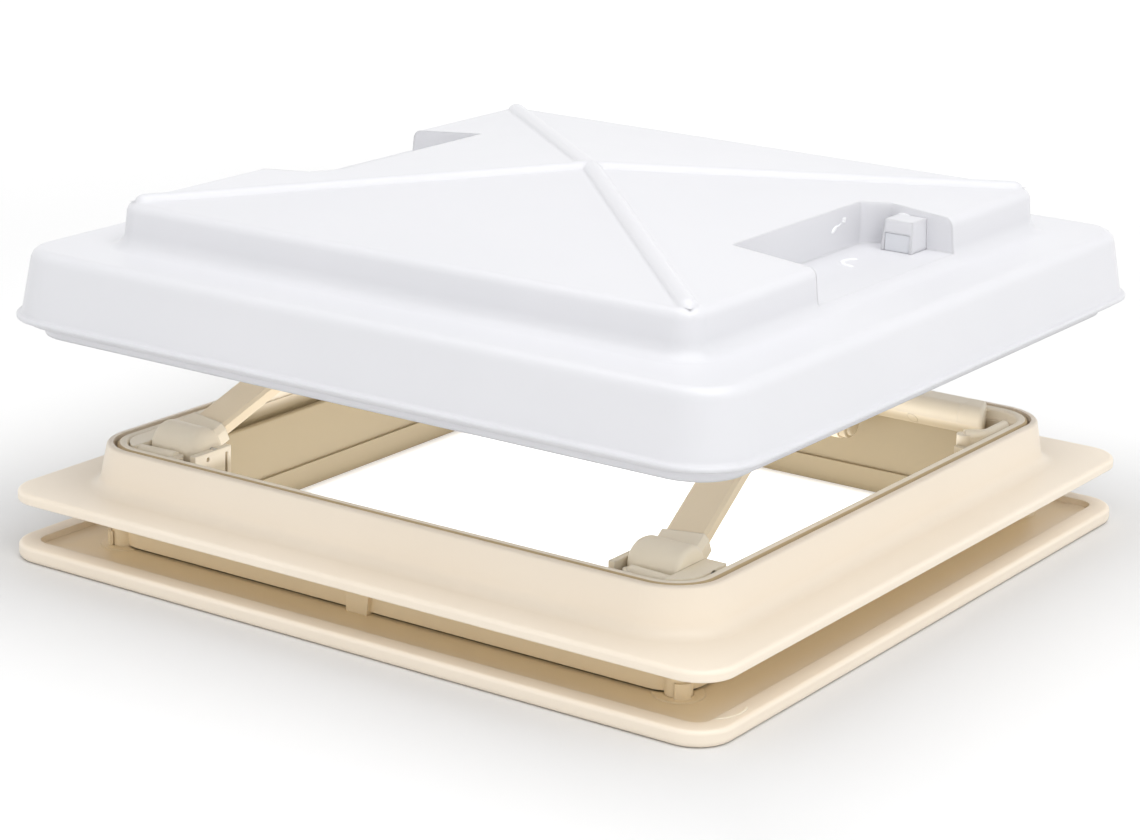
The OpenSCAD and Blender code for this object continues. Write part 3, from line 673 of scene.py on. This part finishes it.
@dataclass
class FixedFrame:
    """The two frames on the roof, with what is screwed to them."""

    cream: tuple[str, ...] = ("outer_frame", "inner_frame")
    corners: tuple[str, ...] = (
        "corner_block_left", "corner_block_front", "corner_web_right", "corner_web_back", "rear_hinge_rail",
    )
    steel: tuple[str, ...] = (
        "clamp_screws", "block_screws", "rail_screws",
        "front_pin_left", "front_pin_right", "rear_pin_left", "rear_pin_right",
    )
    plug_places: tuple[float, ...] = (-125.0, -20.0, 20.0, 125.0)
    # Each ring's share of the plug's radius and how far it stands proud, with none for the back
    plug_rings: tuple[tuple[float, float | None], ...] = (
        (0.86, 0.3), (0.97, 0.18), (1.0, 0.0), (1.0, None),
    )
    plug_height: float = 56.5
    plug_radius: float = 3.35
    plug_back: float = 181.0
    # Depth and height add up to this on the rail's slope
    rail_slope: float = 233.5
    # Radius and reach of each ring of a cap
    cap_profile: tuple[Spot, ...] = ((6.2, 0.0), (6.2, 1.4), (5.7, 2.3), (4.4, 2.8), (1.5, 3.1))
    cap_seat: float = 88.3
    cap_axis: Point = (0.0, 166.0, 47.0)
    end_start: float = 157.0
    end_front: float = 174.5
    end_skew: float = 0.375
    end_face: float = 173.5
    # Depth and height of the points of the rail end's section
    end_foot: tuple[Spot, ...] = ((193.4, 52.0), (181.5, 51.97), (173.46, 60.0), (173.46, 64.0))
    end_round_middle: Spot = (180.46, 64.04)
    end_round_radius: float = 7.0
    end_top: Spot = (192.8, 71.04)
    end_middle: Spot = (183.5, 61.5)
    # How far each ring lies behind the tip, with none for the start, and its share of the section
    end_rings: tuple[tuple[float | None, float], ...] = (
        (None, 1.0), (3.4, 1.0), (2.4, 1.0), (1.2, 0.965), (0.35, 0.9), (0.0, 0.8),
    )
    arc_middle: Point = (211.9, -201.3, 9.5)
    arc_radius: float = 22.4
    arc_span: Span = (-44.0, 24.0)
    arc_bead: Bead = Bead(2.0, 0.6)

    def dress(self) -> None:
        """Gives every fixed node its finish."""
        for name in self.cream:
            dress_node(name, Finish.FRAME)
        for name in self.corners:
            dress_node(name, Finish.CORNER)
        for name in self.steel:
            dress_node(name, Finish.STEEL)
        dress_node("collar_gasket", Finish.GASKET)

    def build(self) -> None:
        """Adds the covers of the rail's fixings, the rail's ends and the mould mark on the tray."""
        for number, place in enumerate(self.plug_places, 1):
            add_piece(f"rail_plug_{number}", self.rail_plug(place), "frame", Finish.CORNER)
        for name, side in (("left", -1), ("right", 1)):
            add_piece("pivot_cap_" + name, self.pivot_cap(side), "frame", Finish.CORNER)
            add_piece("rail_end_" + name, self.rail_end(side), "frame", Finish.CORNER)
        form = bmesh.new()
        self.arc_bead.lay(form, arc_path(self.arc_middle, self.arc_radius, self.arc_span, LEVEL), UP)
        add_piece("tray_mark", form, "frame", Finish.CORNER)

    def rail_plug(self, place: float) -> bmesh.types.BMesh:
        """A plug with an eased edge, cut to the slope of the rail.

        Args:
            place: Where it sits along the rail, in millimetres.

        Returns:
            The plug's closed form.
        """
        form = bmesh.new()
        rings = []
        for share, proud in self.plug_rings:
            radius = self.plug_radius * share
            ring = []
            for across, above in turns(ROUND_STEPS):
                height = self.plug_height + radius * above
                depth = self.plug_back if proud is None else self.rail_slope - height - proud
                ring.append(form.verts.new(Vector((place + radius * across, depth, height)) * MM))
            rings.append(ring)
        join_rings(form, rings)
        return form

    def pivot_cap(self, side: int) -> bmesh.types.BMesh:
        """The domed cap on the head of a rear pin.

        Args:
            side: 1 for the right pin, -1 for the left one.

        Returns:
            The cap's closed form.
        """
        form = bmesh.new()
        rings = []
        for radius, out in self.cap_profile:
            ring = []
            for across, above in turns(ROUND_STEPS):
                spot = Vector((side * (self.cap_seat + out), radius * across, radius * above))
                ring.append(form.verts.new((spot + Vector(self.cap_axis)) * MM))
            rings.append(ring)
        join_rings(form, rings)
        return form

    def rail_end(self, side: int) -> bmesh.types.BMesh:
        """The end of the hinge rail, which reaches towards the corner and has a rounded edge.

        Args:
            side: 1 for the right end, -1 for the left one.

        Returns:
            The end's closed form.
        """
        form = bmesh.new()
        round_y, round_z = self.end_round_middle
        section = list(self.end_foot)
        for degrees in range(10, 91, 10):
            turn = math.radians(degrees)
            y = round_y - self.end_round_radius * math.cos(turn)
            section.append((y, round_z + self.end_round_radius * math.sin(turn)))
        section.append(self.end_top)
        middle = Vector(self.end_middle)
        rings = []
        for back, share in self.end_rings:
            ring = []
            for y, z in section:
                spot = middle + (Vector((y, z)) - middle) * share
                end = self.end_front - self.end_skew * (spot.x - self.end_face)
                x = self.end_start if back is None else end - back
                ring.append(form.verts.new(Vector((side * x, spot.x, spot.y)) * MM))
            rings.append(ring)
        join_rings(form, rings)
        return form


@dataclass
class Bails:
    """The two bails that carry the dome."""

    cream: tuple[str, ...] = ("front_knuckle_left", "front_knuckle_right")
    beige: tuple[str, ...] = ("front_arm_left", "front_arm_right", "rear_arm_left", "rear_arm_right")
    steel: tuple[str, ...] = ("front_bar", "rear_bar")
    grips: tuple[str, ...] = ("front_grip", "rear_grip")

    def dress(self) -> None:
        """Gives every node of the bails its finish."""
        for name in self.cream:
            # The knuckles wear the paler copy of the frame cream, as painted light
            dress_node(name, Finish.CORNER)
        for name in (*self.beige, *self.grips):
            dress_node(name, Finish.ARM)
        for name in self.steel:
            dress_node(name, Finish.STEEL)


@dataclass
class Dome:
    """The dome with its skins, seal, slides and vent hoods."""

    white: tuple[str, ...] = (
        "dome_outer_skin", "dome_inner_skin", "vent_hood_left", "vent_hood_right",
    )
    beige: tuple[str, ...] = (
        "front_slide_left", "front_slide_right", "rear_slide_left", "rear_slide_right",
    )
    notch_middle: float = 7.0
    notch_wall: float = 139.0
    notch_floor: float = 188.0
    notch_side: float = 83.5
    boss_middle: Spot = (160.0, 196.5)
    boss_radius: float = 9.5
    boss_span: Span = (-35.0, 115.0)
    boss_bead: Bead = Bead(1.8, 0.6)
    crescent_middle: Spot = (162.0, 28.7)
    crescent_radius: float = 9.0
    crescent_span: Span = (120.0, 285.0)
    crescent_bead: Bead = Bead(2.6, 0.8)
    # The beads of the hook, each with the places that it follows on the wall
    hook_strokes: tuple[tuple[Bead, tuple[Spot, ...]], ...] = (
        (Bead(2.6, 1.1), ((49.8, 206.1), (52.0, 205.6), (51.8, 204.1), (49.4, 204.6))),
        (Bead(1.2, 0.7), ((49.0, 203.9), (46.0, 202.7), (43.2, 202.2))),
        (Bead(2.8, 1.1), ((44.2, 203.2), (41.6, 201.9), (39.4, 200.5), (38.0, 199.7))),
    )
    panel_start: Point = (2.1, 1.15, 0.1)
    panel_size: Point = (15.8, 0.6, 10.2)
    panel_ease: float = 0.15

    def dress(self) -> None:
        """Gives every node of the dome its finish."""
        for name in self.white:
            dress_node(name, Finish.DOME)
        for name in self.beige:
            dress_node(name, Finish.ARM)
        dress_node("dome_seal", Finish.SEAL)
        dress_node("slide_screws", Finish.STEEL)

    def build(self) -> None:
        """Adds the small mould marks in both notches and the panels of both hoods."""
        pieces = {
            # The mould marks are painted pale as a painted highlight
            "notch_hook": (self.wall_hook(), Finish.MARK),
            "notch_crescent": (self.floor_crescent(), Finish.MARK),
            "hood_boss": (self.hood_boss(), Finish.MARK),
            # The hood panel is painted in a shade colour
            "hood_panel": (self.hood_panel(), Finish.SHADE),
        }
        for name, (form, finish) in pieces.items():
            add_piece(name + "_left", self.half_turn(form), "dome", finish)
            add_piece(name + "_right", form, "dome", finish)

    def half_turn(self, form: bmesh.types.BMesh) -> bmesh.types.BMesh:
        """Turns a copy of a form by half a turn about the middle between the two notches.

        Args:
            form: The form in the right notch.

        Returns:
            The form in the left notch.
        """
        turned = form.copy()
        centre = (0.0, self.notch_middle * MM, 0.0)
        bmesh.ops.rotate(turned, verts=turned.verts, cent=centre, matrix=Matrix.Rotation(math.pi, 3, "Z"))
        return turned

    def hood_panel(self) -> bmesh.types.BMesh:
        """The panel that closes the lower front of the right hood, with eased edges.

        Returns:
            The panel's closed form, in the right notch.
        """
        form = bmesh.new()
        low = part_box("vent_hood_right")[0]
        bmesh.ops.create_cube(form, size=1.0)
        for vert in form.verts:
            shares = (part + 0.5 for part in vert.co)
            sizes = zip(self.panel_start, self.panel_size, shares)
            vert.co = Vector(low) + Vector([start + size * share for start, size, share in sizes]) * MM
        bmesh.ops.bevel(form, geom=form.edges[:], offset=self.panel_ease * MM, segments=2, affect="EDGES")
        return form

    def wall_hook(self) -> bmesh.types.BMesh:
        """The linked pair of drops on the inner wall of the notch.

        Returns:
            The drops' closed form, in the right notch.
        """
        form = bmesh.new()
        for bead, stroke in self.hook_strokes:
            bead.lay(form, [(self.notch_wall, y, z) for y, z in stroke], (1.0, 0.0, 0.0))
        return form

    def floor_crescent(self) -> bmesh.types.BMesh:
        """The small crescent on the floor of the notch.

        Returns:
            The crescent's closed form, in the right notch.
        """
        form = bmesh.new()
        centre = (*self.crescent_middle, self.notch_floor)
        path = arc_path(centre, self.crescent_radius, self.crescent_span, LEVEL)
        self.crescent_bead.lay(form, path, UP)
        return form

    def hood_boss(self) -> bmesh.types.BMesh:
        """The ring on the side wall of the notch, behind the hood.

        Returns:
            The ring's closed form, in the right notch.
        """
        form = bmesh.new()
        centre = (self.boss_middle[0], self.notch_side, self.boss_middle[1])
        path = arc_path(centre, self.boss_radius, self.boss_span, UPRIGHT)
        self.boss_bead.lay(form, path, (0.0, -1.0, 0.0))
        return form


@dataclass(frozen=True)
class SoftBox:
    """A large soft area light."""

    name: str
    place: Point
    side: float
    power: float
    aim: Point = (0.0, 0.0, 0.1)

    def build(self) -> None:
        """Puts the light in the scene."""
        data = bpy.data.lights.new(self.name, "AREA")
        data.shape = "SQUARE"
        data.size = self.side
        data.energy = self.power
        lamp = bpy.data.objects.new(self.name, data)
        lamp.location = self.place
        lamp.rotation_euler = (Vector(self.aim) - Vector(self.place)).to_track_quat("-Z", "Y").to_euler()
        bpy.context.scene.collection.objects.link(lamp)


@dataclass
class Studio:
    """Floor, light and camera."""

    floor_radius: float = 9.0
    floor_colour: Colour = (0.74, 0.74, 0.74)
    # Glow of the floor, which is painted light
    glow_rim: float = 0.0
    glow_near: float = 0.2
    glow_far: float = 0.5
    glow_well: float = 1.4
    far_reach: Span = (0.7, 2.0)
    rim_reach: Span = (0.24, 0.5)
    well_reach: Span = (0.165, 0.195)
    cloud_step: float = 0.01
    sky_low: float = 1.14
    sky_high: float = 0.36
    sky_rise: Span = (0.05, 0.75)
    eye: Point = (0.9657, -1.4459, 0.5913)
    azimuth: float = 34.011
    elevation: float = 16.631
    roll: float = 1.533
    lens: float = 97.0
    boxes: tuple[SoftBox, ...] = (
        SoftBox("top_box", place=(0.3, -0.2, 2.4), side=3.0, power=50.0),
        SoftBox("key_box", place=(1.55, -0.7, 2.13), side=1.8, power=15.0),
        SoftBox("fill_box", place=(-0.8, -2.6, 1.0), side=1.8, power=1.5),
    )

    def build(self) -> None:
        """Sets up the whole studio."""
        self.lay_floor()
        self.light()
        self.place_camera()

    def lay_floor(self) -> None:
        """Lays a round pale floor under the vent that glows as painted light: brightest under the well,
        where it fills the well's shade and lights the vent from below, none right around the tray and
        stronger far away.
        """
        form = bmesh.new()
        bmesh.ops.create_circle(form, cap_ends=True, segments=96, radius=self.floor_radius)
        mesh = bpy.data.meshes.new("floor")
        form.to_mesh(mesh)
        form.free()
        shader = Shader(bpy.data.materials.new("floor_paint"))
        cloud = shader.noise(3.0, 2.0)
        x, y = (abs(shader.axis(index)) for index in range(2))
        square = x.larger(y)
        away = shader.band((x * x + y * y).root(), *self.far_reach)
        # Painted light: the floor glows most under the well to fill its shade and light the vent from below
        glow = shader.tint(away, (self.glow_near,) * 3, (self.glow_far,) * 3)
        glow = shader.tint(shader.band(square, *self.rim_reach), (self.glow_rim,) * 3, glow)
        glow = shader.tint(shader.band(square, *self.well_reach), (self.glow_well,) * 3, glow)
        paler = tuple(min(1.0, part + self.cloud_step) for part in self.floor_colour)
        mesh.materials.append(shader.close({
            "Base Color": shader.tint(cloud, self.floor_colour, paler),
            "Roughness": 0.7,
            "Specular IOR Level": 0.2,
            "Emission Color": glow,
            "Emission Strength": 1.0,
        }))
        floor = bpy.data.objects.new("floor", mesh)
        bpy.context.scene.collection.objects.link(floor)

    def light(self) -> None:
        """Adds a sky that is brighter near the ground, and the soft boxes."""
        world = bpy.data.worlds.new("studio")
        bpy.context.scene.world = world
        shader = Shader(world, "Generated")
        rise = shader.band(shader.axis(2), *self.sky_rise)
        sky = shader.node("ShaderNodeBackground", None, {
            "Color": (1.0, 1.0, 1.0, 1.0),
            "Strength": self.sky_low + (self.sky_high - self.sky_low) * rise,
        })
        shader.node("ShaderNodeOutputWorld", None, {"Surface": sky})
        for box in self.boxes:
            box.build()
        bpy.context.scene.view_settings.view_transform = "Standard"

    def place_camera(self) -> None:
        """Places the camera at the photograph's viewing angle."""
        turn, tip, roll = (math.radians(angle) for angle in (self.azimuth, self.elevation, self.roll))
        back = Vector((math.sin(turn) * math.cos(tip), -math.cos(turn) * math.cos(tip), math.sin(tip)))
        level = Vector((math.cos(turn), math.sin(turn), 0.0))
        upright = back.cross(level)
        right = level * math.cos(roll) + upright * math.sin(roll)
        up = upright * math.cos(roll) - level * math.sin(roll)
        data = bpy.data.cameras.new("camera")
        data.sensor_width = 36.0
        data.lens = self.lens
        camera = bpy.data.objects.new("camera", data)
        axes = Matrix((right, up, back)).transposed().to_4x4()
        camera.matrix_world = Matrix.Translation(self.eye) @ axes
        bpy.context.scene.collection.objects.link(camera)
        bpy.context.scene.camera = camera


def main() -> None:
    """Builds and dresses the sub-assemblies in order."""
    logging.basicConfig(level=logging.INFO, format="%(message)s")
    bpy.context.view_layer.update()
    Studio().build()
    roof_frames = FixedFrame()
    roof_frames.dress()
    roof_frames.build()
    Bails().dress()
    dome = Dome()
    dome.dress()
    dome.build()


if __name__ == "__main__":
    main()
